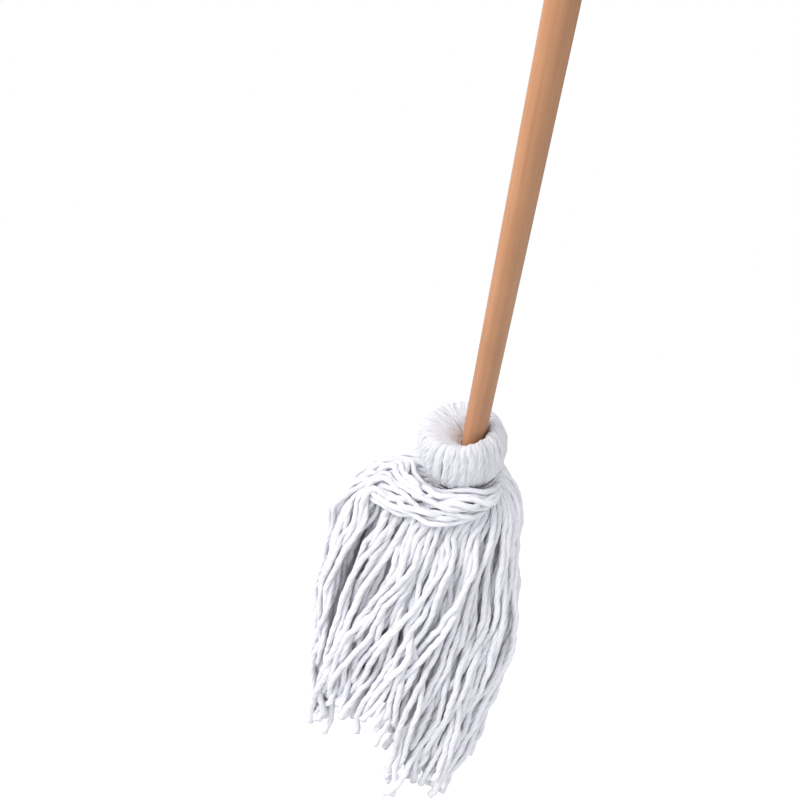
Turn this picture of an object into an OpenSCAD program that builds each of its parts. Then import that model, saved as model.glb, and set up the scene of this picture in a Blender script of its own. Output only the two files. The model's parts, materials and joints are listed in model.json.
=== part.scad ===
// String mop: a wooden dowel handle whose lower end is bound into a head of
// cotton yarn. The yarn is laid along the handle and wired to it, turned over
// into a round collar, tied below the collar, and hangs from the tie in tufts.
//
// +Z is up. The handle leans forward, towards -Y, and the yarn hangs straight
// down. The origin is on the handle's axis, just above the collar. The collar
// leans a little to the left, -X, so the handle is off the middle of its mouth.
// Lengths are in millimetres.

/* [Handle] */
// Diameter of the dowel
handle_d = 22; // [20:1:22]
// Length of the dowel, with the end that is inside the yarn
handle_len = 1200; // [900:50:1500]
// Lean of the dowel from upright, in degrees
handle_tilt = 38; // [30:1:42]
// Diameter of the dowel's lower end, after its long taper
taper_d = 19; // [16:0.5:20]
// Diameter of the hole across the top of the dowel, for a hook
hang_hole_d = 7; // [5:0.5:8]

/* [Binding] */
// Diameter of the binding wire
wire_d = 1.6; // [1.2:0.1:2]
// Turns of binding wire
wire_turns = 6; // [4:1:7]
// Diameter of the cord tied round the neck
cord_d = 3.5; // [3:0.25:4]
// Turns of cord round the neck
cord_turns = 3; // [2:1:3]

/* [Collar] */
// Outer diameter of the turned-over yarn
collar_d = 87; // [82:1:94]
// Diameter across the top of the roll
mouth_d = 63; // [60:1:66]
// Height of the collar, from the roll down to the crease
collar_h = 48; // [44:1:50]

// Lean of the collar to the left of the dowel, in degrees
side_lean = 11; // [0:1:12]

/* [Skirt] */
// Width of the hanging yarn, from side to side
skirt_w = 198; // [180:2:220]
// Depth of the hanging yarn, from front to back
skirt_d = 140; // [120:2:160]
// Drop of the longest tips below the origin
tip_drop = 395; // [360:5:430]
// How far a tuft swings outward, in degrees
swing_max = 60; // [30:5:60]

/* [Hidden] */

$fn = 96;

WOOD = "burlywood";
YARN = "ghostwhite";
STEEL = "silver";

// Depths below the origin, measured along the handle
handle_in = 84;             // lower end of the dowel
sleeve_top = 22;            // where the yarn meets the dowel inside the funnel
sleeve_end = 90;            // yarn folded under the dowel's end
wire_at = 38;               // first turn of wire
nail_at = 52.5;             // nails that hold the ends of the wire
head_at = 6;                // top of the collar
head_pivot = 81;            // where the collar's axis crosses the handle's

// Depths below the top of the collar, measured along its own axis
tie_top = 50.4;             // upper edge of the tied part
cord_at = 54;               // first turn of cord
neck_end = 63.5;            // lower edge of the tied part

handle_r = handle_d / 2;
taper_r = taper_d / 2;
handle_out = handle_len - handle_in;
handle_round = 6;           // rounding of the dowel's top edge
hang_hole_at = handle_out - 47;

sleeve_gap = 0.2;           // between the dowel and the yarn round it
sleeve_r = 14;
wired_r = 12.6;             // the yarn, pinched by the wire
nail_d = 1.6;
nail_head_d = 4.4;
nail_head_h = 0.8;
nail_tip_r = 3;             // how near the nails come to the dowel's axis

collar_r = collar_d / 2;
roll_r = mouth_d / 2;
collar_bore_r = 25.6;       // clear of the dowel, which is off the middle
part_gap = 0.6;             // between neighbouring sectors of yarn

neck_r = 36;
groove_r = 33.5;            // the yarn, pinched by the cord
cord_ring_r = groove_r + cord_d / 2 + 0.15;
knot_r = 4.2;
knot_at_r = 41;
knot_tail = 16;

// The yarn hangs round an upright line behind the origin and to the left
skirt_x = -14;
skirt_y = 84 * sin(handle_tilt);
pivot_z = -((head_at + neck_end) * cos(handle_tilt) + neck_r * sin(handle_tilt) + 24);
skirt_top_w = 112;
skirt_top_d = 88;
lean_left = 5;              // the skirt reaches further to the left than to the right
tuft_gap = 0.75;            // from each tuft to the plane between it and the next
tuft_drop_gap = 1;          // between the neck yarn and the tufts
tuft_in_r = 14;
core_r = 12;
core_short = 45;            // the core ends this far above the longest tips
bulge_at = 0.38;            // fraction of a tuft's length where it is widest

sweep_r = 6;
sweep_from = -12;
sweep_to = -168;

// Radius of an ellipse with the given width and depth, in direction a
function ellipse_r(w, d, a) = 1 / sqrt(pow(cos(a) / (w / 2), 2) + pow(sin(a) / (d / 2), 2));

// Outer radius of the yarn in direction a: at its top, and where it is widest
function top_r(a) = ellipse_r(skirt_top_w, skirt_top_d, a) - lean_left / 2 * cos(a);
function wide_r(a) = ellipse_r(skirt_w, skirt_d, a) - lean_left * cos(a);

// Distance from the skirt's middle to the hinge line of the tuft in direction a
function hinge_r(a) = 0.72 * top_r(a);

// Height of the tips in direction a: longest on the right, shortest on the left
function tip_z(a) = -(tip_drop - 20 * pow(1 - cos(a), 1.9));

// Outer radius of the skirt in direction a, at fraction t of its length
function skirt_r(a, t) =
    t < bulge_at
        ? top_r(a) + (wide_r(a) - top_r(a)) * sin(90 * t / bulge_at)
        : wide_r(a) * (1 - (0.08 + 0.07 * cos(a)) * pow((t - bulge_at) / (1 - bulge_at), 2));

// A point of the handle's frame: x, y across its axis, s along it
function on_handle(x, y, s) = [
    x,
    y * cos(handle_tilt) - s * sin(handle_tilt),
    y * sin(handle_tilt) + s * cos(handle_tilt)
];

// A point of the collar's frame: x, y across its axis, s along it from its top
function leaning(x, y, s) =
    let (up = s + head_pivot - head_at)
    on_handle(
        x * cos(side_lean) - up * sin(side_lean),
        y,
        x * sin(side_lean) + up * cos(side_lean) - head_pivot
    );

// A closed solid through rings of points that all run the same way round
module loft(rings) {
    n = len(rings[0]);
    m = len(rings);
    sides = [
        for (j = [0:m - 2], i = [0:n - 1])
            each [
                [j * n + i, j * n + (i + 1) % n, (j + 1) * n + (i + 1) % n],
                [j * n + i, (j + 1) * n + (i + 1) % n, (j + 1) * n + i]
            ]
    ];
    polyhedron(
        points = [for (r = rings) each r],
        faces = concat(
            [[for (i = [n - 1:-1:0]) i]],
            sides,
            [[for (i = [0:n - 1]) (m - 1) * n + i]]
        ),
        convexity = 4
    );
}

// Along the handle
module lean() {
    rotate([handle_tilt, 0, 0]) children();
}

// Along the collar's axis, from its top
module head_lean() {
    lean()
        translate([0, 0, -head_pivot])
            rotate([0, -side_lean, 0])
                translate([0, 0, head_pivot - head_at])
                    children();
}

module handle() {
    round_steps = 6;
    outline = concat(
        [[0, -handle_in], [taper_r - 1, -handle_in], [taper_r, -handle_in + 1], [handle_r, 0]],
        [
            for (i = [0:round_steps])
                let (a = 90 * i / round_steps)
                [handle_r - handle_round * (1 - cos(a)), handle_out - handle_round * (1 - sin(a))]
        ],
        [[0, handle_out]]
    );
    color(WOOD)
        lean()
            difference() {
                rotate_extrude() polygon(outline);
                translate([0, 0, hang_hole_at])
                    rotate([0, 90, 0])
                        cylinder(d = hang_hole_d, h = 2 * handle_d, center = true);
            }
}

module yarn_sleeve() {
    wire_end = wire_at + wire_turns * wire_d;
    top_in_r = handle_r - (handle_r - taper_r) * sleeve_top / handle_in + sleeve_gap;
    outline = [
        [0, -sleeve_end],
        [sleeve_r - 5, -sleeve_end],
        [sleeve_r, -sleeve_end + 6],
        [sleeve_r, -wire_end - 3],
        [wired_r, -wire_end],
        [wired_r, -wire_at + 2],
        [sleeve_r, -wire_at + 6],
        [sleeve_r, -sleeve_top - 4],
        [top_in_r + 1, -sleeve_top],
        [top_in_r, -sleeve_top],
        [taper_r + sleeve_gap, -handle_in - sleeve_gap],
        [0, -handle_in - sleeve_gap]
    ];
    color(YARN) lean() rotate_extrude() polygon(outline);
}

module binding_wire() {
    color(STEEL)
        lean()
            for (i = [0:wire_turns - 1])
                translate([0, 0, -wire_at - (i + 0.5) * (wire_d + 0.05)])
                    rotate_extrude()
                        translate([wired_r + wire_d / 2 + 0.1, 0])
                            circle(d = wire_d, $fn = 24);
}

module nail() {
    rotate([0, 90, 0]) {
        translate([0, 0, nail_tip_r])
            cylinder(d = nail_d, h = sleeve_r - nail_tip_r, $fn = 24);
        translate([0, 0, sleeve_r])
            cylinder(d = nail_head_d, h = nail_head_h, $fn = 32);
    }
}

module binding_nails() {
    color(STEEL)
        lean()
            for (a = [60, 240])
                rotate([0, 0, a]) translate([0, 0, -nail_at]) nail();
}

// One eighth of the collar: yarn turned over and down, seen in section
module collar_part(a) {
    half_h = collar_h / 2;
    roll_w = collar_r - roll_r;
    spread = asin(part_gap / 2 / collar_bore_r);
    steps = 12;
    inner = acos((collar_bore_r - roll_r) / roll_w);
    outline = concat(
        [
            for (i = [0:steps])
                let (t = -60 + (inner + 60) * i / steps)
                [roll_r + roll_w * cos(t), -half_h + half_h * sin(t)]
        ],
        [
            [collar_bore_r, -collar_h - 2],
            [roll_r + roll_w / 2, -collar_h - 2]
        ]
    );
    color(YARN)
        head_lean()
            rotate([0, 0, a - 22.5 + spread])
                rotate_extrude(angle = 45 - 2 * spread)
                    polygon(outline);
}

module neck_cord() {
    color(YARN)
        head_lean()
            for (i = [0:cord_turns - 1])
                translate([0, 0, -cord_at - i * (cord_d + 0.1)])
                    rotate_extrude()
                        translate([cord_ring_r, 0])
                            circle(d = cord_d, $fn = 24);
}

// The knot is behind the neck, with two short tails
module neck_knot() {
    color(YARN)
        translate(leaning(0, knot_at_r, -cord_at - cord_d)) {
            sphere(r = knot_r, $fn = 48);
            for (side = [-1, 1])
                rotate([-150, side * 12, 0])
                    cylinder(d = cord_d - 0.3, h = knot_tail, $fn = 24);
        }
}

// Direction a on the neck's lower edge, and on the foot of the neck yarn
function neck_edge(a) = leaning(neck_r * cos(a), neck_r * sin(a), -neck_end);
function neck_foot(a) = [
    skirt_x + top_r(a) * cos(a),
    skirt_y + top_r(a) * sin(a),
    pivot_z + tuft_drop_gap
];

// Yarn from the tie down to where the tufts bend, round the end of the sleeve
module neck_yarn() {
    steps = 32;
    angles = [for (i = [0:steps - 1]) 360 * i / steps];
    floor_r = sleeve_r + 1.5;
    mouth_r = sleeve_r + 2;
    // The dowel's axis, in the plane of the hollow's mouth
    mouth_x = (head_pivot - head_at - tie_top) * tan(side_lean);
    // Radius and depth of the tied part, with a groove for the cord
    tied = [
        [neck_r, tie_top], [neck_r, tie_top + 0.6], [groove_r, tie_top + 1.2],
        [groove_r, neck_end - 0.5], [neck_r, neck_end]
    ];
    rings = concat(
        [
            [for (a = angles) on_handle(floor_r * cos(a), floor_r * sin(a), -sleeve_end - 1)],
            [for (a = angles) leaning(mouth_x + mouth_r * cos(a), mouth_r * sin(a), -tie_top)]
        ],
        [for (t = tied) [for (a = angles) leaning(t[0] * cos(a), t[0] * sin(a), -t[1])]],
        [
            for (w = [0.33, 0.67, 1])
                [for (a = angles) neck_edge(a) * (1 - w) + neck_foot(a) * w]
        ]
    );
    color(YARN) loft(rings);
}

// A hank that crosses the front, from right to left, just below the crease
module sweep_hank() {
    steps = 12;
    w = 0.6;
    rings = [
        for (i = [0:steps])
            let (
                f = i / steps,
                a = sweep_from + (sweep_to - sweep_from) * f,
                r = sweep_r * (0.5 + 0.5 * sin(180 * f)),
                middle = neck_edge(a) * (1 - w) + neck_foot(a) * w,
                out = [cos(a), sin(a), 0]
            )
            [
                for (b = [0:36:324])
                    middle + out * (sweep_r + 1 + r * cos(b)) + [0, 0, r * sin(b)]
            ]
    ];
    color(YARN) loft(rings);
}

// The innermost strands, which hang straight from the middle of the neck
module core_tuft() {
    top = pivot_z;
    low = -tip_drop + core_short;
    color(YARN)
        translate([skirt_x, skirt_y, 0])
            rotate_extrude()
                polygon([
                    [0, low], [core_r - 4, low], [core_r, low + 8],
                    [core_r, top - 8], [core_r - 4, top], [0, top]
                ]);
}

// One hanging tuft. Its sides are flat and stay clear of the planes between
// tufts, and its top is cut away outside the hinge, so that it can swing out.
module tuft(a) {
    drop = pivot_z - tip_z(a);
    // Fraction of the drop, and how full the section is there
    levels = [
        [0, 1], [0.035, 1], [0.08, 1], [0.14, 1], [0.24, 1],
        [0.36, 1], [0.5, 1], [0.68, 1], [0.93, 1], [1, 0.86]
    ];
    rings = [
        for (v = levels)
            let (d = v[0] * drop, z = pivot_z - d)
            concat(
                [for (k = [-1:0.5:1]) tuft_point(a, k, tuft_out_r(a, k, v[0], d) * v[1], z)],
                [for (k = [1, -1]) tuft_point(a, k, tuft_in_r, z)]
            )
    ];
    color(YARN) loft(rings);
}

// A tuft's outer radius at k, which runs from -1 to 1 across it
function tuft_out_r(a, k, t, depth) =
    let (b = a + 22.5 * k)
    min(skirt_r(b, t), (hinge_r(a) + depth / tan(swing_max)) / cos(22.5 * k));

// A tuft's point at k and radius r, kept clear of the next tuft
function tuft_point(a, k, r, z) =
    let (b = a + k * (22.5 - asin(tuft_gap / r)))
    [skirt_x + r * cos(b), skirt_y + r * sin(b), z];

handle();
yarn_sleeve();
binding_wire();
binding_nails();
collar_part(22.5);  // collar_right_back
collar_part(67.5);  // collar_back_right
collar_part(112.5);  // collar_back_left
collar_part(157.5);  // collar_left_back
collar_part(202.5);  // collar_left_front
collar_part(247.5);  // collar_front_left
collar_part(292.5);  // collar_front_right
collar_part(337.5);  // collar_right_front
neck_cord();
neck_knot();
neck_yarn();
sweep_hank();
core_tuft();
tuft(22.5);  // tuft_right_back
tuft(67.5);  // tuft_back_right
tuft(112.5);  // tuft_back_left
tuft(157.5);  // tuft_left_back
tuft(202.5);  // tuft_left_front
tuft(247.5);  // tuft_front_left
tuft(292.5);  // tuft_front_right
tuft(337.5);  // tuft_right_front
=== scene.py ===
import json
import math

import bpy
import numpy as np
from mathutils import Matrix, Vector


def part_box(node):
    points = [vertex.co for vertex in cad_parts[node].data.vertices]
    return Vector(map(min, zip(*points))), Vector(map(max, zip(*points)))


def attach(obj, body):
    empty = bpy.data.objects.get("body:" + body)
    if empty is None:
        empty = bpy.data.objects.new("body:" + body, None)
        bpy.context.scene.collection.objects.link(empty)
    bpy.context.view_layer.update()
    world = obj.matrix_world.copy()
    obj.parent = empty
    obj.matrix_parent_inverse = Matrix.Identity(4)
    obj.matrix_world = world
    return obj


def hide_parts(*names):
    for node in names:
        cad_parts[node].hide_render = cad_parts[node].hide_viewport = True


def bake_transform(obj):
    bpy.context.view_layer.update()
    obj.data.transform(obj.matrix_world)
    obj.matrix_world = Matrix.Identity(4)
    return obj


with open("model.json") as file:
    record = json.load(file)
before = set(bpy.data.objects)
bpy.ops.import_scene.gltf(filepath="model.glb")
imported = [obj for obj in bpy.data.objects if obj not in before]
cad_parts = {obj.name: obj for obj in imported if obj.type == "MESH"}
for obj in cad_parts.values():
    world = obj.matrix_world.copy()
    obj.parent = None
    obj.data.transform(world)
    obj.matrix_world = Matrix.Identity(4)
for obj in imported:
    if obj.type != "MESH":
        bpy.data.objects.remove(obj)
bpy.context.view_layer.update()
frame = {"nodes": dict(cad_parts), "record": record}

# A cotton string mop. Strands of twisted yarn hang from a tie round its neck, and those of
# the outer layer start inside the head, so that they also make the turned-over collar.
# Every strand begins as a path, and the paths settle against each other before any of
# them becomes a tube.

# Lengths are in millimetres until a mesh is made.
MM = 0.001
# The body that everything but the eight tufts belongs to.
ROOT = "handle_and_collar"
SIDES = [
    "right_back", "back_right", "back_left", "left_back",
    "left_front", "front_left", "front_right", "right_front",
]
rng = np.random.default_rng(11)


# ---------------------------------------------------------------- the frame

def node_box(name):
    """Lowest and highest corner of a CAD node, in millimetres."""
    lo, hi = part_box(name)
    return np.array(lo) / MM, np.array(hi) / MM


# The handle's own axes are hx, hy and hz, with hz up along it, at TILT from vertical.
# The head's are cx, cy and cz: it leans sideways by SIDE_LEAN about the point that is
# HEAD_PIVOT down the handle's axis, and sits HEAD_AT lower. cx points right, cy away from
# the camera, and cz up.
mounts = {m["name"]: m for m in frame["record"]["mounts"]}
shank_up = np.array(mounts["shank"]["axis"], float)
TILT = math.atan2(-shank_up[1], shank_up[2])
SIDE_LEAN = math.radians(11)
HEAD_PIVOT = 81.0
HEAD_AT = 6.0

hx = np.array([1.0, 0.0, 0.0])
hy = np.array([0.0, math.cos(TILT), math.sin(TILT)])
hz = np.array([0.0, -math.sin(TILT), math.cos(TILT)])
cx = math.cos(SIDE_LEAN) * hx + math.sin(SIDE_LEAN) * hz
cy = hy
cz = -math.sin(SIDE_LEAN) * hx + math.cos(SIDE_LEAN) * hz

# The skirt's middle, its half widths, its lowest tip, and the level where the tufts bend.
core_lo, core_hi = node_box("core_tuft")
SKIRT = np.array([(core_lo[0] + core_hi[0]) / 2, (core_lo[1] + core_hi[1]) / 2])
PIVOT_Z = core_hi[2]
tuft_boxes = {s: node_box("tuft_" + s) for s in SIDES}
SKIRT_RIGHT = max(b[1][0] for b in tuft_boxes.values()) - SKIRT[0]
SKIRT_LEFT = SKIRT[0] - min(b[0][0] for b in tuft_boxes.values())
SKIRT_HALF_D = (
    max(b[1][1] for b in tuft_boxes.values()) - min(b[0][1] for b in tuft_boxes.values())
) / 2
TIP_LOW = min(b[0][2] for b in tuft_boxes.values())


def on_handle(x, y, s):
    """Points across and along the handle."""
    x, y, s = (np.asarray(v, float)[..., None] for v in (x, y, s))
    return x * hx + y * hy + s * hz


def leaning(x, y, s):
    """Points across and along the leaning head; s is 0 at the collar's top."""
    x, y, s = (np.asarray(v, float)[..., None] for v in (x, y, s))
    return -HEAD_PIVOT * hz + x * cx + y * cy + (s + HEAD_PIVOT - HEAD_AT) * cz


def smooth(t):
    """0 below 0, 1 above 1, and an easy curve between."""
    t = np.clip(t, 0, 1)
    return t * t * (3 - 2 * t)


# ---------------------------------------------------------------- camera

AZIMUTH, ELEVATION, ROLL = (math.radians(v) for v in (7.04, 8.78, 11.79))
DISTANCE = 774.0
# How far the collar is to the right of the view's middle and below it, as slopes.
COLLAR_RIGHT = 0.0775
COLLAR_BELOW = 0.055

forward = np.array([
    -math.sin(AZIMUTH) * math.cos(ELEVATION),
    math.cos(AZIMUTH) * math.cos(ELEVATION),
    -math.sin(ELEVATION),
])
level = np.cross(forward, [0, 0, 1])
level /= np.linalg.norm(level)
upright = np.cross(level, forward)
cam_right = level * math.cos(ROLL) + upright * math.sin(ROLL)
cam_up = -level * math.sin(ROLL) + upright * math.cos(ROLL)
collar_mid = leaning(0, 0, -24)
ray = forward + COLLAR_RIGHT * cam_right - COLLAR_BELOW * cam_up
camera_at = collar_mid - DISTANCE * ray / np.linalg.norm(ray)

cam_data = bpy.data.cameras.new("camera")
cam_data.sensor_width = 36
cam_data.lens = 36
cam_data.clip_start = 0.01
cam_data.clip_end = 50
camera = bpy.data.objects.new("camera", cam_data)
bpy.context.scene.collection.objects.link(camera)
turn = np.stack([cam_right, cam_up, -forward], axis=1)
placed = Matrix([[*map(float, row), 0.0] for row in turn] + [[0, 0, 0, 1]])
placed.translation = Vector(camera_at * MM)
camera.matrix_world = placed
bpy.context.scene.camera = camera


# ---------------------------------------------------------------- materials

def new_material(name):
    """A material, its nodes, its links and its shader."""
    m = bpy.data.materials.new(name)
    m.use_nodes = True
    nodes, links = m.node_tree.nodes, m.node_tree.links
    return m, nodes, links, nodes["Principled BSDF"]


def mix_color(nodes, links, kind, factor, a, b):
    """Mixes two colours; factor, a and b are sockets or fixed values."""
    n = nodes.new("ShaderNodeMix")
    n.data_type = "RGBA"
    n.blend_type = kind
    n.clamp_factor = True
    for socket, value in ((n.inputs[0], factor), (n.inputs[6], a), (n.inputs[7], b)):
        if isinstance(value, bpy.types.NodeSocket):
            links.new(value, socket)
        elif isinstance(value, tuple):
            socket.default_value = (*value, 1)
        else:
            socket.default_value = value
    return n.outputs[2]


def noise(nodes, links, vector, scale, detail, rough):
    """A noise texture's value."""
    n = nodes.new("ShaderNodeTexNoise")
    n.inputs["Scale"].default_value = scale
    n.inputs["Detail"].default_value = detail
    n.inputs["Roughness"].default_value = rough
    links.new(vector, n.inputs["Vector"])
    return n.outputs["Fac"]


def ramp(nodes, links, value, stops):
    """A colour for each value, from stops of (value, colour)."""
    n = nodes.new("ShaderNodeValToRGB")
    links.new(value, n.inputs[0])
    e = n.color_ramp.elements
    while len(e) < len(stops):
        e.new(0.5)
    for element, (at, color) in zip(e, stops):
        element.position = at
        element.color = (*color, 1)
    return n.outputs[0]


def stretched(nodes, links, scale, turned=(0, 0, 0)):
    """Object coordinates, turned and then stretched."""
    coord = nodes.new("ShaderNodeTexCoord")
    a = nodes.new("ShaderNodeMapping")
    a.vector_type = "POINT"
    a.inputs["Rotation"].default_value = turned
    b = nodes.new("ShaderNodeMapping")
    b.inputs["Scale"].default_value = scale
    links.new(coord.outputs["Object"], a.inputs["Vector"])
    links.new(a.outputs[0], b.inputs["Vector"])
    return b.outputs[0]


def varied_roughness(nodes, links, shader, value, low, high):
    """Roughness from low to high as value goes from 0 to 1."""
    n = nodes.new("ShaderNodeMapRange")
    n.inputs["To Min"].default_value = low
    n.inputs["To Max"].default_value = high
    links.new(value, n.inputs["Value"])
    links.new(n.outputs[0], shader.inputs["Roughness"])


def point_value(nodes, name):
    """The node that reads a value which each point of a mesh carries."""
    n = nodes.new("ShaderNodeAttribute")
    n.attribute_name = name
    return n


def bump(nodes, links, shader, height, strength, distance):
    """Relief from a height value, up to distance metres."""
    n = nodes.new("ShaderNodeBump")
    n.inputs["Strength"].default_value = strength
    n.inputs["Distance"].default_value = distance
    links.new(height, n.inputs["Height"])
    links.new(n.outputs[0], shader.inputs["Normal"])


def yarn_material(name, light, shade):
    """Twisted cotton: paler on the plies and greyer in the grooves, which is painted shade,
    with fine fibres.
    """
    m, nodes, links, shader = new_material(name)
    groove = point_value(nodes, "groove")
    tint = point_value(nodes, "tint")
    fibre_at = point_value(nodes, "fibre")
    even = stretched(nodes, links, (1, 1, 1))
    soil = noise(nodes, links, even, 38, 3, 0.6)
    fibre = noise(nodes, links, fibre_at.outputs["Vector"], 1.5, 4, 0.65)
    # Painted shade: the colour goes from light to shade with the depth of the groove between
    # plies.
    body = mix_color(nodes, links, "MIX", groove.outputs["Fac"], light, shade)
    # Each strand's tint: its own tone, which differs at random, and painted shade on the deeper
    # layers, the collar, the filling and the sleeve.
    toned_and_shaded = mix_color(nodes, links, "MULTIPLY", 1.0, body, tint.outputs["Color"])
    soiled = ramp(nodes, links, soil, [(0.35, (0.955, 0.94, 0.955)), (0.65, (1, 1, 1))])
    patchy = mix_color(nodes, links, "MULTIPLY", 0.8, toned_and_shaded, soiled)
    speck = ramp(nodes, links, fibre, [(0.34, (0.82, 0.81, 0.84)), (0.54, (1, 1, 1))])
    final = mix_color(nodes, links, "MULTIPLY", 0.7, patchy, speck)
    links.new(final, shader.inputs["Base Color"])
    shader.inputs["Roughness"].default_value = 0.95
    shader.inputs["Specular IOR Level"].default_value = 0.15
    shader.inputs["Sheen Weight"].default_value = 0.2
    shader.inputs["Sheen Roughness"].default_value = 0.6
    bump(nodes, links, shader, fibre, 0.8, 0.0009)
    return m


def wood_material():
    """Oiled wood with its grain and pores along the handle."""
    m, nodes, links, shader = new_material("wood")
    turned = (-TILT, 0, 0)
    grain_at = stretched(nodes, links, (1, 1, 0.025), turned)
    pore_at = stretched(nodes, links, (1, 1, 0.012), turned)
    even = stretched(nodes, links, (1, 1, 1), turned)
    broad = noise(nodes, links, grain_at, 75, 3, 0.5)
    fine = noise(nodes, links, pore_at, 900, 3, 0.6)
    blotch = noise(nodes, links, even, 14, 3, 0.55)
    base = ramp(nodes, links, broad, [
        (0.30, (0.34, 0.160, 0.078)),
        (0.50, (0.39, 0.195, 0.100)),
        (0.72, (0.45, 0.240, 0.130)),
    ])
    pores = ramp(nodes, links, fine, [(0.36, (0.72, 0.60, 0.50)), (0.52, (1, 1, 1))])
    grained = mix_color(nodes, links, "MULTIPLY", 0.3, base, pores)
    worn = ramp(nodes, links, blotch, [(0.35, (0.86, 0.82, 0.80)), (0.65, (1, 1, 1))])
    final = mix_color(nodes, links, "MULTIPLY", 0.8, grained, worn)
    links.new(final, shader.inputs["Base Color"])
    varied_roughness(nodes, links, shader, blotch, 0.36, 0.55)
    shader.inputs["Specular IOR Level"].default_value = 0.3
    bump(nodes, links, shader, fine, 0.2, 0.0002)
    return m


def steel_material():
    """Galvanised steel with its spangle."""
    m, nodes, links, shader = new_material("galvanised_steel")
    even = stretched(nodes, links, (1, 1, 1))
    spangle = noise(nodes, links, even, 420, 2, 0.5)
    tone = ramp(nodes, links, spangle, [(0.35, (0.42, 0.42, 0.44)), (0.65, (0.62, 0.62, 0.64))])
    links.new(tone, shader.inputs["Base Color"])
    shader.inputs["Metallic"].default_value = 1.0
    varied_roughness(nodes, links, shader, spangle, 0.35, 0.6)
    bump(nodes, links, shader, spangle, 0.15, 0.0002)
    return m


# The second colour of each is the painted shade in the grooves.
YARN = yarn_material("cotton_yarn", (0.925, 0.935, 0.97), (0.84, 0.84, 0.89))
CORD = yarn_material("cotton_cord", (0.90, 0.90, 0.92), (0.66, 0.65, 0.69))
WOOD = wood_material()
STEEL = steel_material()


# ---------------------------------------------------------------- yarn tubes

# Outlines round four plies of yarn and three of cord, as shares of the radius: each ply is
# one full point and the lower ones up to the next ply.
YARN_OUTLINE = np.tile([1.0, 0.96, 0.84, 0.96], 4)
CORD_OUTLINE = np.tile([1.0, 0.8, 0.8], 3)
# How uneven a tube's surface is, and how much it swells and thins along its length.
LUMPS = 0.05
SLUBS = 0.022


def path_length(path):
    """Length of a polyline."""
    return np.linalg.norm(np.diff(path, axis=0), axis=1).sum()


def resample(path, count):
    """count points evenly along a polyline."""
    step = np.linalg.norm(np.diff(path, axis=0), axis=1)
    at = np.concatenate([[0], np.cumsum(step)])
    want = np.linspace(0, at[-1], count)
    return np.stack([np.interp(want, at, path[:, k]) for k in range(3)], axis=1)


def rounded(path, passes=2):
    """The path with its corners eased, and its ends where they were."""
    p = path.copy()
    for _ in range(passes):
        p[1:-1] = 0.25 * p[:-2] + 0.5 * p[1:-1] + 0.25 * p[2:]
    return p


def spline(points, count):
    """A smooth curve through points, with count points evenly along it."""
    p = np.vstack([2 * points[0] - points[1], points, 2 * points[-1] - points[-2]])
    t = np.linspace(0, 1, 12, endpoint=False)[:, None]
    parts = []
    for a, b, c, d in zip(p[:-3], p[1:-2], p[2:-1], p[3:]):
        parts.append(0.5 * (
            2 * b + (c - a) * t + (2 * a - 5 * b + 4 * c - d) * t ** 2
            + (3 * b - a - 3 * c + d) * t ** 3
        ))
    parts.append(points[-1:])
    return resample(np.vstack(parts), count)


def twisted(centres, radii, pitch, phase, outline=YARN_OUTLINE):
    """A strand of twisted yarn round its rings' centres. Returns its points, ring by ring,
    and for each point its depth in a groove and its place along a fibre."""
    rings, sectors = len(centres), len(outline)
    tangent = np.gradient(centres, axis=0)
    tangent /= np.linalg.norm(tangent, axis=1, keepdims=True)
    # A side that turns with the strand as little as it can
    side = np.cross(tangent[:1], [0.31, 0.87, 0.38])
    side /= np.linalg.norm(side, axis=1, keepdims=True)
    sides = [side]
    for t in tangent[1:, None]:
        side = side - t * np.sum(side * t, axis=1, keepdims=True)
        side = side / np.linalg.norm(side, axis=1, keepdims=True)
        sides.append(side)
    u = np.concatenate(sides)
    v = np.cross(tangent, u)
    step = np.linalg.norm(np.diff(centres, axis=0), axis=1)
    length = np.concatenate([[0], np.cumsum(step)])
    around = 2 * math.pi * np.arange(sectors) / sectors
    angle = (2 * math.pi * length / pitch + phase)[:, None] + around
    lumps = rng.normal(0, 1, (rings, sectors))
    lumps[1:-1] = 0.25 * lumps[:-2] + 0.5 * lumps[1:-1] + 0.25 * lumps[2:]
    slub = np.sin(length / 5.1 + 5 * phase) + np.sin(length / 2.3 + 3 * phase)
    r = radii[:, None] * (outline + LUMPS * lumps + SLUBS * slub[:, None])
    points = (
        centres[:, None]
        + u[:, None] * (r * np.cos(angle))[..., None]
        + v[:, None] * (r * np.sin(angle))[..., None]
    )
    # Depth in the groove between plies, which the yarn material paints as shade.
    groove = np.broadcast_to((1 - outline) / (1 - outline.min()), (rings, sectors))
    fibre = np.stack(np.broadcast_arrays(
        radii[:, None] * np.cos(around),
        radii[:, None] * np.sin(around),
        0.09 * length[:, None] + 40 * phase,
    ), axis=-1)
    return points, groove, fibre


def tube_faces(rings, sectors):
    """A closed tube's four-sided faces, and its two flat ends."""
    i = np.arange(sectors)
    ring = np.stack([i, (i + 1) % sectors, (i + 1) % sectors + sectors, i + sectors], axis=1)
    quads = (ring + (np.arange(rings - 1) * sectors)[:, None, None]).reshape(-1, 4)
    return quads, (i[::-1], i + (rings - 1) * sectors)


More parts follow.
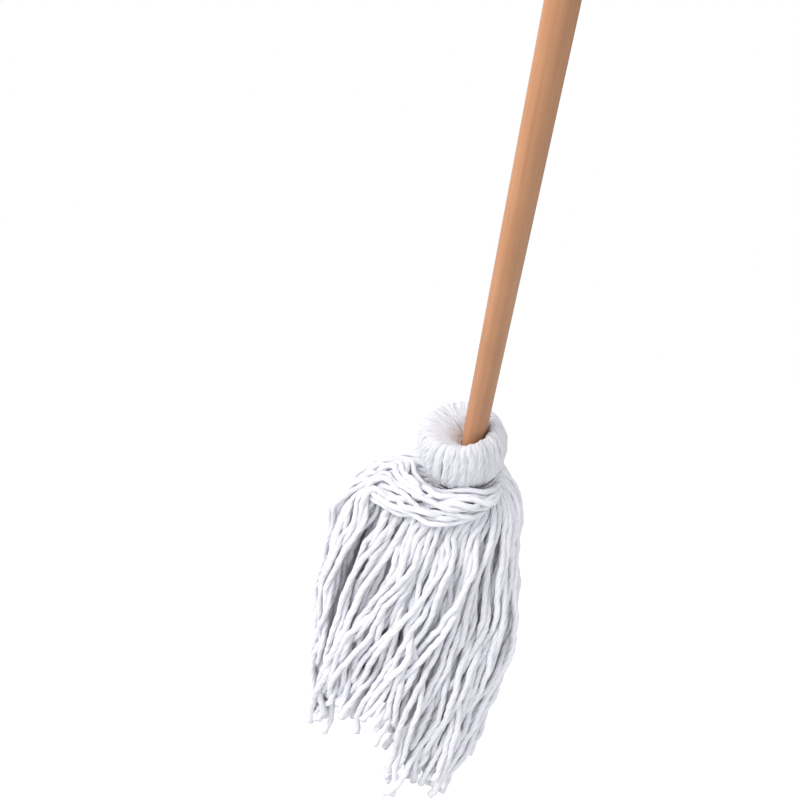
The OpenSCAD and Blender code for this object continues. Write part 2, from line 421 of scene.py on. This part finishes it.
def mesh_object(name, batches, material):
    """One object of closed tubes. A batch is one tube's points, groove, fibre and tint; the
    tint is one number, or one for each ring."""
    verts, loops, sizes = [], [], []
    grooves, fibres, tints = [], [], []
    base = 0
    for points, groove, fibre, tint in batches:
        rings, sectors = points.shape[:2]
        quads, ends = tube_faces(rings, sectors)
        verts.append(points.reshape(-1, 3))
        grooves.append(groove.ravel())
        fibres.append(fibre.reshape(-1, 3))
        tints.append(np.repeat(np.broadcast_to(tint, rings), sectors))
        loops.append(quads.ravel() + base)
        sizes.append(np.full(len(quads), 4))
        for corners in ends:
            loops.append(corners + base)
            sizes.append(np.array([sectors]))
        base += rings * sectors
    verts = np.concatenate(verts) * MM
    loops = np.concatenate(loops).astype(np.int32)
    sizes = np.concatenate(sizes).astype(np.int32)
    mesh = bpy.data.meshes.new(name)
    mesh.vertices.add(len(verts))
    mesh.vertices.foreach_set("co", verts.astype(np.float32).ravel())
    mesh.loops.add(len(loops))
    mesh.loops.foreach_set("vertex_index", loops)
    mesh.polygons.add(len(sizes))
    starts = np.concatenate([[0], np.cumsum(sizes)[:-1]]).astype(np.int32)
    mesh.polygons.foreach_set("loop_start", starts)
    mesh.polygons.foreach_set("use_smooth", sizes == 4)
    mesh.update(calc_edges=True)
    mesh.validate()
    for kept, kind, field, values in (
        ("groove", "FLOAT", "value", grooves),
        ("tint", "FLOAT", "value", tints),
        ("fibre", "FLOAT_VECTOR", "vector", fibres),
    ):
        attribute = mesh.attributes.new(kept, kind, "POINT")
        attribute.data.foreach_set(field, np.concatenate(values).astype(np.float32).ravel())
    mesh.materials.append(material)
    obj = bpy.data.objects.new(name, mesh)
    bpy.context.scene.collection.objects.link(obj)
    return obj


# ---------------------------------------------------------------- the skirt's outline

def wide_r(a):
    """Radius of the skirt where it is widest, in direction a."""
    half_w = np.where(np.cos(a) > 0, SKIRT_RIGHT, SKIRT_LEFT)
    return 1 / np.sqrt((np.cos(a) / half_w) ** 2 + (np.sin(a) / SKIRT_HALF_D) ** 2)


def tip_z(a):
    """Height of the longest tips in direction a: lowest at the right, shorter at the left."""
    c = np.cos(a)
    return (
        TIP_LOW + 8 - 11 * smooth((c - 0.3) / 0.4)
        + 50 * smooth((0.25 - c) / 0.4) - 14 * smooth((-0.5 - c) / 0.45)
    )


# The skirt's radius as shares of its widest, at these fractions of its drop.
DEPTH_STOPS = [0.0, 0.07, 0.3, 0.45, 0.6, 0.78, 1.0]
RIGHT_FULL = [0.80, 0.89, 0.99, 1.00, 0.94, 0.88, 0.80]
LEFT_FULL = [0.98, 1.00, 0.99, 0.99, 0.99, 0.95, 0.85]
FRONT_FULL = [0.60, 0.75, 1.00, 1.03, 1.00, 0.96, 0.90]


def skirt_r(a, t):
    """Radius of the skirt in direction a, at fraction t of its drop."""
    right = np.clip(np.cos(a), 0, 1) ** 2
    left = np.clip(-np.cos(a), 0, 1) ** 2
    full = (
        right * np.interp(t, DEPTH_STOPS, RIGHT_FULL)
        + left * np.interp(t, DEPTH_STOPS, LEFT_FULL)
        + (1 - right - left) * np.interp(t, DEPTH_STOPS, FRONT_FULL)
    )
    return wide_r(a) * full


# ---------------------------------------------------------------- strands

STRAND_R = 3.15
# The spacing of the points that settle, and of the finished rings.
NODE_STEP = 5.0
RING_STEP = 2.5
# Where the outer strands leave the tie.
NECK_R = 31.0
NECK_S = -64.0
# How many strands each layer has, where it sits in the neck, its share of the
# skirt's radius, and how much shorter than the outer layer it is.
LAYERS = [
    (72, NECK_R, 1.00, 0),
    (64, 26.0, 0.93, 6),
    (44, 21.0, 0.80, 14),
    (22, 17.0, 0.42, 26),
]
# How far round a strand drifts between the neck and its tip.
TWIST = math.radians(28)


def off_centre(s, near):
    """How far from the head's axis a ring's middle is, to keep near to the handle's axis."""
    return (s + HEAD_PIVOT - HEAD_AT) * math.tan(SIDE_LEAN) * near


def collar_path(theta, even_theta, slant):
    """A strand from the funnel at the handle, over the roll, down to the crease."""
    # Radius, depth and the share by which it keeps round the handle.
    profile = np.array([
        [12.6, -42.0, 1.00],
        [12.9, -27.0, 1.00],
        [15.2, -17.0, 0.92],
        [21.0, -7.6, 0.62],
        [26.2, -2.8, 0.24],
        [31.2, -1.2, 0.00],
        [35.6, -4.6, 0.00],
        [38.6, -12.5, 0.00],
        [39.8, -24.0, 0.00],
        [38.9, -34.0, 0.00],
        [36.4, -43.0, 0.00],
        [33.0, -49.0, 0.00],
        [31.2, -53.5, 0.00],
        [NECK_R, NECK_S, 0.00],
    ])
    r, s, near = profile.T
    along = np.concatenate([[0], np.cumsum(np.hypot(np.diff(r), np.diff(s)))])
    up = 1 - along / along[-1]
    turn = theta + (even_theta - theta) * smooth(up * 4) + slant * up
    s = s - 2.4 * np.sin(even_theta) * np.exp(-((r - 30) / 6) ** 2) * (s > -10)
    return leaning(off_centre(s, near) + r * np.cos(turn), r * np.sin(turn), s)


def evenly(path):
    """The path with points about NODE_STEP apart, and how far along it each one is."""
    length = path_length(path)
    count = int(round(length / NODE_STEP)) + 1
    return resample(path, count), np.linspace(0, length, count)


def waves(at, sizes, share):
    """Smooth random sideways drift for points this far along: (size, wavelength) pairs."""
    total = np.zeros((len(at), 3))
    for size, wavelength in sizes:
        for k in range(3):
            w = wavelength * rng.uniform(0.75, 1.3)
            total[:, k] += size * rng.uniform(0.5, 1.0) * np.sin(
                2 * math.pi * at / w + rng.uniform(0, 2 * math.pi)
            )
    return total * share[:, None]


def shoulder_path(start, end, out, left, share):
    """From the neck, outward and over to the top of the skirt. It is fuller at the left."""
    away = out * (0.86 + 0.10 * left * share) - cz * (0.42 - 0.22 * left * share)
    away /= np.linalg.norm(away)
    p1 = start + away * (22 + 26 * left * share)
    p2 = end + np.array([0, 0, 1.0]) * (24 + 22 * left * share)
    b = np.linspace(0, 1, 14)[:-1, None]
    return (
        start * (1 - b) ** 3 + 3 * p1 * b * (1 - b) ** 2
        + 3 * p2 * b ** 2 * (1 - b) + end * b ** 3
    )


def skirt_path(theta, neck_r, share, shorter, clump, clump_pull):
    """A strand from the neck, out over the shoulder and down to its tip. left goes from 0
    at the right of the head to 1 at its left."""
    start = leaning(neck_r * math.cos(theta), neck_r * math.sin(theta), NECK_S)
    out = math.cos(theta) * cx + math.sin(theta) * cy
    left = 0.5 - 0.5 * math.cos(theta)
    a0 = theta + rng.normal(0, 0.05)
    drift = TWIST * clump["drift"]
    tip = tip_z(a0 - drift) + shorter + rng.normal(0, 8) + clump["short"]
    tip += 12 + 12 * math.sin(a0 - drift) ** 2
    tip = max(tip, TIP_LOW + rng.uniform(10, 20))
    begin_z = PIVOT_Z - 18 + 8 * left + rng.normal(0, 5)
    t = np.linspace(0, 1, 26)
    z = begin_z + (tip - begin_z) * t
    part = np.clip((PIVOT_Z - z) / (PIVOT_Z - tip_z(a0)), 0, 1)
    pull = clump_pull * smooth(part * 1.6)
    toward = (clump["angle"] - theta + math.pi) % (2 * math.pi) - math.pi
    a = a0 + toward * pull - drift * part ** 0.8
    meander = clump["size"] * np.sin(2 * math.pi * part / clump["length"] + clump["phase"])
    r = skirt_r(a, part) * share - STRAND_R + clump["lift"] * smooth(part * 2)
    a = a + meander * smooth(part * 2.5) / np.maximum(r, 25)
    curl = clump["curl"] * np.clip((part - 0.72) / 0.28, 0, 1) ** 1.8
    hang = np.stack([
        SKIRT[0] + r * np.cos(a) - curl * (1 - 0.5 * left),
        SKIRT[1] + r * np.sin(a),
        z + 0.8 * curl,
    ], axis=1)
    over = shoulder_path(start, hang[0], out, left, share)
    path, at = evenly(np.vstack([over, hang]))
    grow = smooth(at / 90) * (0.7 + 0.5 * np.linspace(0, 1, len(at)))
    path += waves(at, [(6.0, 200), (2.4, 95), (1.0, 44)], grow)
    kinked = smooth(1.6 * left - 0.4) * np.exp(-((at - 62) / 38) ** 2)
    path += waves(at, [(2.0, 30), (1.2, 19)], kinked)
    return path


def make_clumps(thetas):
    """Neighbouring strands in groups of two to five, which lie together lower down."""
    groups, k = [], 0
    while k < len(thetas):
        size = int(rng.integers(2, 6))
        members = list(range(k, min(k + size, len(thetas))))
        groups.append((members, {
            "angle": float(np.mean(thetas[members])) + rng.normal(0, 0.03),
            "short": rng.normal(0, 9),
            "drift": rng.uniform(0.55, 1.5),
            "size": rng.uniform(2, 9),
            "length": rng.uniform(0.7, 1.4),
            "phase": rng.uniform(0, 2 * math.pi),
            "lift": rng.normal(0, 4.0),
            "curl": abs(rng.normal(0, 14)) + 3,
        }))
        k += size
    return groups


strands = []
for layer, (count, neck_r, share, shorter) in enumerate(LAYERS):
    thetas = 2 * math.pi * (np.arange(count) + rng.uniform(-0.3, 0.3, count)) / count
    for members, clump in make_clumps(thetas):
        for k in members:
            theta = thetas[k]
            lower = skirt_path(
                theta, neck_r + rng.normal(0, 0.4), share * rng.normal(1, 0.03),
                shorter, clump, rng.uniform(0.55, 0.9),
            )
            even_theta = 2 * math.pi * k / count
            strands.append({
                "layer": layer, "theta": theta, "even_theta": even_theta, "path": lower,
            })


# ---------------------------------------------------------------- settling

# Strands touch at this share of their thickness. At each step they part at PART_RATE, no
# point moves further than MAX_MOVE, and they keep their bends at BEND_RATE and are drawn
# back to where they began at BACK_RATE.
TOUCH = 0.96
PART_RATE = 0.35
MAX_MOVE = 1.2
BEND_RATE = 0.35
BACK_RATE = 0.012
# The tie holds this many points of each strand, and pairs are looked for this often,
# within this much more than a strand's thickness.
HELD_POINTS = 3
SEARCH_EVERY = 6
SEARCH_MARGIN = 2.5


def close_pairs(p, strand, order, reach):
    """Pairs of points nearer than reach, on different strands or far along one."""
    cell = np.floor(p / reach).astype(np.int64)
    cell -= cell.min(0) - 1
    dims = cell.max(0) + 2
    key = (cell[:, 0] * dims[1] + cell[:, 1]) * dims[2] + cell[:, 2]
    rank = np.argsort(key, kind="stable")
    in_order = key[rank]
    every = np.arange(len(p))
    first, second = [], []
    # Half of the cells around a cell, and itself: the other half finds the same pairs.
    near = [(x, y, z) for x in (-1, 0, 1) for y in (-1, 0, 1) for z in (-1, 0, 1)]
    for x, y, z in near[len(near) // 2:]:
        target = key + (x * dims[1] + y) * dims[2] + z
        lo = np.searchsorted(in_order, target, "left")
        hi = np.searchsorted(in_order, target, "right")
        many = hi - lo
        i = np.repeat(every, many)
        before = np.concatenate([[0], np.cumsum(many)[:-1]])
        j = rank[np.repeat(lo - before, many) + np.arange(many.sum())]
        if (x, y, z) == (0, 0, 0):
            keep = i < j
            i, j = i[keep], j[keep]
        first.append(i)
        second.append(j)
    i, j = np.concatenate(first), np.concatenate(second)
    keep = (strand[i] != strand[j]) | (np.abs(order[i] - order[j]) > 3)
    i, j = i[keep], j[keep]
    d = p[i] - p[j]
    keep = np.einsum("ij,ij->i", d, d) < reach * reach
    return i[keep], j[keep]


def settle(paths, radii, steps):
    """Pushes strands apart where they overlap, while each keeps its length and bends."""
    sizes = [len(p) for p in paths]
    ends = np.cumsum(sizes)
    p = np.concatenate(paths)
    guide = p.copy()
    strand = np.repeat(np.arange(len(paths)), sizes)
    order = np.concatenate([np.arange(s) for s in sizes])
    radius = np.concatenate(radii)
    inner = np.ones(len(p), bool)
    inner[ends - 1] = False
    inner[ends - np.array(sizes)] = False
    middle = np.nonzero(inner)[0]
    links = np.nonzero(strand[:-1] == strand[1:])[0]
    rest = np.linalg.norm(p[links + 1] - p[links], axis=1)
    bend = p[middle - 1] + p[middle + 1] - 2 * p[middle]
    held = order < HELD_POINTS
    for step in range(steps):
        if step % SEARCH_EVERY == 0:
            i, j = close_pairs(p, strand, order, 2 * STRAND_R + SEARCH_MARGIN)
            need = (radius[i] + radius[j]) * TOUCH
        d = p[i] - p[j]
        far = np.linalg.norm(d, axis=1) + 1e-9
        push = np.clip(need - far, 0, None) * PART_RATE / far
        move = np.zeros_like(p)
        for k in range(3):
            amount = d[:, k] * push
            move[:, k] = (
                np.bincount(i, amount, len(p)) - np.bincount(j, amount, len(p))
            )
        long = np.linalg.norm(move, axis=1, keepdims=True)
        move *= np.minimum(1, MAX_MOVE / np.maximum(long, 1e-9))
        move[held] = 0
        p = p + move
        want = 0.5 * (p[middle - 1] + p[middle + 1] - bend)
        fix = BEND_RATE * (want - p[middle])
        fix[held[middle]] = 0
        p[middle] += fix
        d = p[links + 1] - p[links]
        far = np.linalg.norm(d, axis=1, keepdims=True)
        fix = d * (0.5 * (far - rest[:, None]) / far)
        move = np.zeros_like(p)
        np.add.at(move, links, fix * 0.5)
        np.add.at(move, links + 1, -fix * 0.5)
        move[held] = 0
        p = p + move
        back = (guide - p) * BACK_RATE
        back[held] = 0
        p += back
    return np.split(p, ends[:-1])


def neck_share(at):
    """How much of its full thickness a strand has, this far out of the tie."""
    return 0.62 + 0.38 * smooth(at / 34)


# ---------------------------------------------------------------- sweep hank

# How many strands cross the front, which of them turn back at the right in a hairpin, and
# how many loose strands lie over the skirt.
SWEEPS = 13
HAIRPINS = (8, 10, 11, 12)
STRAYS = 9


def across(a, low, out):
    """Points over the front of the neck: direction, how far down, how far out. They are at
    the tie's edge where low is 0, and round the top of the skirt where it is 1."""
    a, low, out = (np.asarray(v, float) for v in (a, low, out))
    edge = leaning(34 * np.cos(a), 34 * np.sin(a), np.full(len(a), -57.0))
    half_w = 62 + 30 * smooth(-np.cos(a))
    foot = np.stack([
        SKIRT[0] + half_w * np.cos(a), SKIRT[1] + 50 * np.sin(a), np.full(len(a), PIVOT_Z),
    ], axis=1)
    away = np.stack([np.cos(a), np.sin(a), np.zeros(len(a))], axis=1)
    return edge + (foot - edge) * low[:, None] + away * out[:, None]


def sweep_path(k):
    """A strand that crosses the front from right to left, and hangs at the left."""
    rank = k / (SWEEPS - 1)
    last = math.radians(-178 + 32 * rank + rng.uniform(-5, 5))
    deep = 0.08 + 0.70 * rank
    if k in HAIRPINS:
        first = across(
            np.radians([-106, -86, -70, -58, -56]),
            [0.02, 0.03, 0.05, 0.10, 0.22], np.array([3, 6, 9, 11, 12]) + k % 2,
        )
        f = np.linspace(0.34, 1, 8)
    else:
        first = np.zeros((0, 3))
        f = np.linspace(0, 1, 11)
    a = math.radians(-20 - 6 * rng.uniform(0, 1)) * (1 - f) + last * f
    low = deep * (0.22 + 0.78 * smooth((-a - 0.95) / 1.2)) + 0.04 * f
    turn = 2 * math.pi * (f * rng.uniform(0.6, 1.2) + rng.uniform(0, 1))
    spread = 3.2 * np.sin(math.pi * f) + 1
    # The lower strands stand out over the skirt at the right, and shade it.
    stand_off = 6 + 8 * smooth(f * 3) + 8 * rank * smooth(f * 8) * smooth((0.75 - f) * 4)
    over = across(a, low, stand_off + spread * np.cos(turn))
    over[:, 2] += spread * np.sin(turn)
    t = np.linspace(0.06, 1, 14)
    fall = last % (2 * math.pi) - TWIST * 0.8 * t
    r = skirt_r(fall, t) * (0.98 + 0.02 * (k % 3)) + 3
    tip = tip_z(fall) + 12 + rng.uniform(0, 60)
    z = PIVOT_Z + (tip - PIVOT_Z) * t
    hang = np.stack([SKIRT[0] + r * np.cos(fall), SKIRT[1] + r * np.sin(fall), z], axis=1)
    path, at = evenly(spline(np.vstack([first, over, hang]), 160))
    path += waves(at, [(3.0, 120), (2.0, 58)], smooth(at / 70))
    return path + waves(at, [(2.6, 34), (1.6, 22)], np.exp(-((at - 80) / 55) ** 2))


def stray_path():
    """A strand that lies over the others and crosses them towards the left."""
    a0 = math.radians(rng.uniform(-125, -55))
    begin = leaning(NECK_R * math.cos(a0), NECK_R * math.sin(a0), NECK_S)
    t = np.linspace(0, 1, 18)
    part = 0.04 + 0.96 * t
    a = a0 - math.radians(rng.uniform(34, 66)) * smooth(t * 0.9)
    r = skirt_r(a, part) + 2
    low = tip_z(a[-1]) + rng.uniform(14, 60)
    z = PIVOT_Z - 8 + (low - PIVOT_Z) * t
    hang = np.stack([SKIRT[0] + r * np.cos(a), SKIRT[1] + r * np.sin(a), z], axis=1)
    out = math.cos(a0) * cx + math.sin(a0) * cy
    path, at = evenly(spline(np.vstack([[begin, begin + 14 * out - 4 * cz], hang]), 160))
    return path + waves(at, [(4.5, 160), (2.0, 80), (1.0, 40)], smooth(at / 70))


for k in range(SWEEPS):
    strands.append({"layer": "sweep", "path": sweep_path(k)})
for k in range(STRAYS):
    strands.append({"layer": "stray", "path": stray_path()})

settled = settle(
    [s["path"] for s in strands],
    [STRAND_R * neck_share(np.arange(len(s["path"])) * NODE_STEP) for s in strands],
    110,
)
for s, path in zip(strands, settled):
    s["path"] = rounded(path)


# ---------------------------------------------------------------- finished strands

# Rings over the collar and about how long that stretch is.
COLLAR_RINGS = 62
COLLAR_LENGTH = 150
# Deeper layers are a little darker: painted shade, for the shade deep among the strands.
LAYER_PAINTED_SHADE = {1: 0.97, 2: 0.92, 3: 0.86}


def side_of(path):
    """The tuft that a strand hangs in, from where its middle half is."""
    part = path[len(path) // 4: 3 * len(path) // 4].mean(0)
    a = math.atan2(part[1] - SKIRT[1], part[0] - SKIRT[0]) % (2 * math.pi)
    return SIDES[int(a // (math.pi / 4)) % 8]


def thickness(at):
    """Share of its radius along a strand: pinched in the tie, opened at its tip."""
    return neck_share(at) * (1 + 0.16 * smooth((at - at[-1] + 12) / 10))


def skirt_rings(s):
    """Centres, radii and tint of a strand's rings below the tie."""
    length = path_length(s["path"])
    count = int(length / RING_STEP)
    at = np.linspace(0, length, count)
    wobble = waves(at, [(0.4, 26), (0.2, 12)], smooth(np.linspace(0, 4, count)))
    radii = STRAND_R * s["size"] * thickness(at)
    return spline(s["path"], count) + wobble, radii, np.full(count, s["tint"])


def collar_rings(s):
    """The same, from the handle over the collar to the tie, for an outer strand."""
    slant = math.radians(26) + rng.normal(0, 0.06)
    centres = spline(collar_path(s["theta"], s["even_theta"], slant), COLLAR_RINGS)
    f = np.linspace(0, 1, COLLAR_RINGS)
    swell = np.interp(
        f, [0, 0.12, 0.33, 0.45, 0.62, 0.85, 0.93, 1],
        [0.42, 0.48, 0.80, 0.98, 1.13, 0.98, 0.70, 0.62],
    )
    swell = swell * (1 + rng.normal(0, 0.05) * np.sin(math.pi * f))
    at = np.linspace(0, COLLAR_LENGTH, COLLAR_RINGS)
    bob = waves(at, [(0.7, 60), (0.4, 24)], np.sin(math.pi * f) ** 0.5)
    # Painted shade: each outer strand's collar stretch is darkened to about 0.86 to 0.90, back
    # to full only at the tie.
    collar_painted_shade = np.interp(f, [0, 0.2, 0.35, 0.9, 1], [0.86, 0.90, 0.87, 0.88, 1])
    return centres + bob, STRAND_R * swell, s["tint"] * collar_painted_shade


def finish_strand(s):
    """All the rings of a strand. An outer one is whole: its collar, then its skirt."""
    lower = skirt_rings(s)
    if s["layer"] != 0:
        return lower
    upper = collar_rings(s)
    return [np.concatenate([above[:-1], below]) for above, below in zip(upper, lower)]


for s in strands:
    s["size"] = rng.normal(1.0, 0.05)
    s["tint"] = float(np.clip(rng.normal(0.97, 0.035), 0.84, 1.0))
    # The random tone is the strand's own; the layer's share on top of it is painted shade.
    s["tint"] *= LAYER_PAINTED_SHADE.get(s["layer"], 1)


def strands_object(name, chosen):
    """One object of the chosen strands."""
    batches = []
    for s in chosen:
        centres, radii, tint = finish_strand(s)
        pitch = rng.normal(44, 4)
        phase = rng.uniform(0, 2 * math.pi)
        batches.append((*twisted(centres, radii, pitch, phase), tint))
    return mesh_object(name, batches, YARN)


by_side = {side: [] for side in SIDES}
inner_strands, sweep_strands = [], []
for s in strands:
    if s["layer"] == "sweep":
        sweep_strands.append(s)
    elif s["layer"] == 3:
        inner_strands.append(s)
    else:
        by_side[side_of(s["path"])].append(s)

for side in SIDES:
    piece = strands_object("strands_" + side, by_side[side])
    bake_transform(piece)
    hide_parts("tuft_" + side, "collar_" + side)

piece = strands_object("strands_core", inner_strands)
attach(piece, ROOT)
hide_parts("core_tuft")

piece = strands_object("strands_across_front", sweep_strands)
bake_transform(piece)
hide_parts("sweep_hank")


# ---------------------------------------------------------------- inside the head

def filling():
    """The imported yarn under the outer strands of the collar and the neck: ridged rings."""
    # Radius, depth and the share by which it keeps round the handle.
    profile = [
        (12.0, -60.0, 1.0), (12.0, -30.0, 1.0), (15.0, -22.0, 0.9), (21.5, -12.0, 0.6),
        (27.0, -6.4, 0.24), (31.2, -4.0, 0.0), (35.0, -7.0, 0.0), (37.6, -14.0, 0.0),
        (39.2, -24.0, 0.0), (38.0, -34.0, 0.0), (35.0, -42.0, 0.0), (31.0, -49.0, 0.0),
        (29.5, -56.0, 0.0), (29.0, -66.0, 0.0), (24.0, -76.0, 0.2), (12.0, -82.0, 0.6),
    ]
    steps = 72
    ridges = 18
    a = np.linspace(0, 2 * math.pi, steps, endpoint=False)
    rows = np.array([
        leaning(off_centre(s, near) + r * np.cos(a), r * np.sin(a), np.full(steps, s))
        for r, s, near in profile
    ])
    ridge = 1 + 0.012 * np.cos(ridges * a)
    middle = rows.mean(axis=1, keepdims=True)
    return middle + (rows - middle) * ridge[None, :, None]


# Painted shade: the filling takes mostly the grooves' shade colour and is darkened to 0.7, for
# the shade inside the head.
points = filling()
groove = np.full(points.shape[:2], 0.8)
piece = mesh_object("head_filling", [(points, groove, points * 0.5, 0.7)], YARN)
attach(piece, ROOT)
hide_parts("neck_yarn")

SLEEVE_STRANDS = 26
SLEEVE_RINGS = 30
SLEEVE_STRAND_R = 1.55


def sleeve_path(theta):
    """A strand along the handle's end: pinched by the binding wire, rounded in below."""
    s = np.linspace(-27, -88, SLEEVE_RINGS)
    pinch = np.exp(-((s + 43) / 6.5) ** 2)
    r = 12.4 - 1.6 * pinch
    r = r * np.where(s < -78, np.sqrt(np.clip(1 - ((s + 78) / 12.0) ** 2, 0.05, 1)), 1)
    a = theta + 0.006 * (s + 27)
    return on_handle(r * np.cos(a), r * np.sin(a), s)


# Painted shade: the sleeve's strands are darkened to 0.85, deep in the funnel.
batches = []
for k in range(SLEEVE_STRANDS):
    path = sleeve_path(2 * math.pi * (k + rng.uniform(-0.2, 0.2)) / SLEEVE_STRANDS)
    radii = np.full(SLEEVE_RINGS, SLEEVE_STRAND_R)
    batches.append((*twisted(path, radii, 16.0, rng.uniform(0, 6), CORD_OUTLINE), 0.85))
piece = mesh_object("sleeve_strands", batches, YARN)
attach(piece, ROOT)
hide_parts("yarn_sleeve")


# ---------------------------------------------------------------- the tie

CORD_R = 1.75
KNOT_R = 1.5
# The radius that the cord is wound at, and how many times it goes round.
WOUND_R = 35.4
TURNS = 3


def cord_tube(path, radii, pitch, tint):
    """One batch for mesh_object: a stretch of cord."""
    radii = np.broadcast_to(radii, len(path))
    return (*twisted(path, radii, pitch, 0.0, CORD_OUTLINE), tint)


def wound_path():
    """The cord's turns down round the neck, from the back, a little uneven."""
    f = np.linspace(0, 1, 420)
    a = math.pi / 2 + 2 * math.pi * TURNS * f
    r = WOUND_R + (0.25 * np.sin(9 * a) + 0.2 * np.sin(23 * a + 1))
    return leaning(r * np.cos(a), r * np.sin(a), -53.2 - 8.6 * f)


def knot_path(middle):
    """A trefoil, which lies flat against the neck."""
    t = np.linspace(0, 2 * math.pi, 90)[:-1, None]
    across_it = (2 + np.cos(3 * t)) * np.cos(2 * t) * 1.55
    up_it = (2 + np.cos(3 * t)) * np.sin(2 * t) * 1.55
    return middle + across_it * cx + up_it * cz + 1.9 * np.sin(3 * t) * cy


def tail_path(middle, side):
    """One of the cord's two ends, which hang down from the knot."""
    return spline(np.array([
        middle + side * 2.5 * cx - 1 * cz,
        middle + side * 5.0 * cx - 5 * cz + 1.5 * cy,
        middle + side * 6.0 * cx - 11 * cz + 2.0 * cy,
        middle + side * 5.2 * cx - 17 * cz + 0.5 * cy,
    ]), 40)


piece = mesh_object("tie_cord", [cord_tube(wound_path(), CORD_R, 9.0, 1.0)], CORD)
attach(piece, ROOT)
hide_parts("neck_cord")

knot_mid = leaning(0, 40.6, -57.4)
frayed = KNOT_R * (1 + 0.45 * smooth((np.arange(40) - 33) / 6))
batches = [cord_tube(knot_path(knot_mid), KNOT_R, 7.0, 1.0)]
for side in (-1, 1):
    batches.append(cord_tube(tail_path(knot_mid, side), frayed, 8.0, 0.95))
piece = mesh_object("tie_knot", batches, CORD)
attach(piece, ROOT)
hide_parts("neck_knot")


# ---------------------------------------------------------------- CAD nodes that stay

for name, material in (("handle", WOOD), ("binding_wire", STEEL), ("binding_nails", STEEL)):
    node = frame["nodes"][name]
    node.data.materials.clear()
    node.data.materials.append(material)


# ---------------------------------------------------------------- stage and light

# The floor is this far below the tips, and reaches this far each way, in metres.
FLOOR_DROP = 0.7
FLOOR_REACH = 30.0

floor_z = TIP_LOW * MM - FLOOR_DROP
corners = [(x * FLOOR_REACH, y * FLOOR_REACH) for x, y in ((-1, -1), (1, -1), (1, 1), (-1, 1))]
mesh = bpy.data.meshes.new("floor")
mesh.from_pydata([(x, y, floor_z) for x, y in corners], [], [(0, 1, 2, 3)])
floor = bpy.data.objects.new("floor", mesh)
bpy.context.scene.collection.objects.link(floor)
m, nodes, links, shader = new_material("floor")
shader.inputs["Base Color"].default_value = (0.93, 0.93, 0.93, 1)
shader.inputs["Roughness"].default_value = 0.9
mesh.materials.append(m)

# The backdrop is white, and the light that it gives is a little less than that.
world = bpy.data.worlds.new("studio")
world.use_nodes = True
nodes, links = world.node_tree.nodes, world.node_tree.links
seen = nodes["Background"]
seen.inputs[0].default_value = (1, 1, 1, 1)
given = nodes.new("ShaderNodeBackground")
given.inputs[0].default_value = (0.97, 0.98, 1.0, 1)
# More of it comes from the front and the left than from behind and the right.
direction = nodes.new("ShaderNodeTexCoord")
leftward = nodes.new("ShaderNodeVectorMath")
leftward.operation = "DOT_PRODUCT"
leftward.inputs[1].default_value = tuple(-0.8 * level - 0.6 * forward)
links.new(direction.outputs["Generated"], leftward.inputs[0])
share = nodes.new("ShaderNodeMapRange")
share.inputs["From Min"].default_value = -1
share.inputs["From Max"].default_value = 1
share.inputs["To Min"].default_value = 0.42
share.inputs["To Max"].default_value = 1.46
links.new(leftward.outputs["Value"], share.inputs["Value"])
links.new(share.outputs[0], given.inputs[1])
path_of = nodes.new("ShaderNodeLightPath")
chosen = nodes.new("ShaderNodeMixShader")
links.new(path_of.outputs["Is Camera Ray"], chosen.inputs[0])
links.new(given.outputs[0], chosen.inputs[1])
links.new(seen.outputs[0], chosen.inputs[2])
links.new(chosen.outputs[0], nodes["World Output"].inputs[0])
bpy.context.scene.world = world


def add_lamp(name, kind, energy, toward):
    """A lamp that shines in the direction toward."""
    lamp = bpy.data.objects.new(name, bpy.data.lights.new(name, kind))
    bpy.context.scene.collection.objects.link(lamp)
    lamp.data.energy = energy
    lamp.rotation_euler = Vector(toward).to_track_quat("-Z", "Y").to_euler()
    return lamp


# A soft sun, from above and from the front left.
key = add_lamp("key", "SUN", 1.2, 0.8 * level - 0.5 * upright + 0.6 * forward)
key.data.angle = math.radians(30)
key.data.color = (1.0, 0.985, 0.965)

# A second lamp at the left lights the handle and not the head.
handle_mid = on_handle(0, 0, 620)
lamp_at = handle_mid - 1500 * level - 1000 * forward + 500 * upright
side_lamp = add_lamp("side_lamp", "SPOT", 190, handle_mid - lamp_at)
side_lamp.location = Vector(lamp_at * MM)
side_lamp.data.shadow_soft_size = 0.25
side_lamp.data.spot_size = math.radians(46)
side_lamp.data.spot_blend = 0.5
handle_only = bpy.data.collections.new("handle_only")
handle_only.objects.link(frame["nodes"]["handle"])
side_lamp.light_linking.receiver_collection = handle_only

bpy.context.scene.view_settings.view_transform = "Standard"
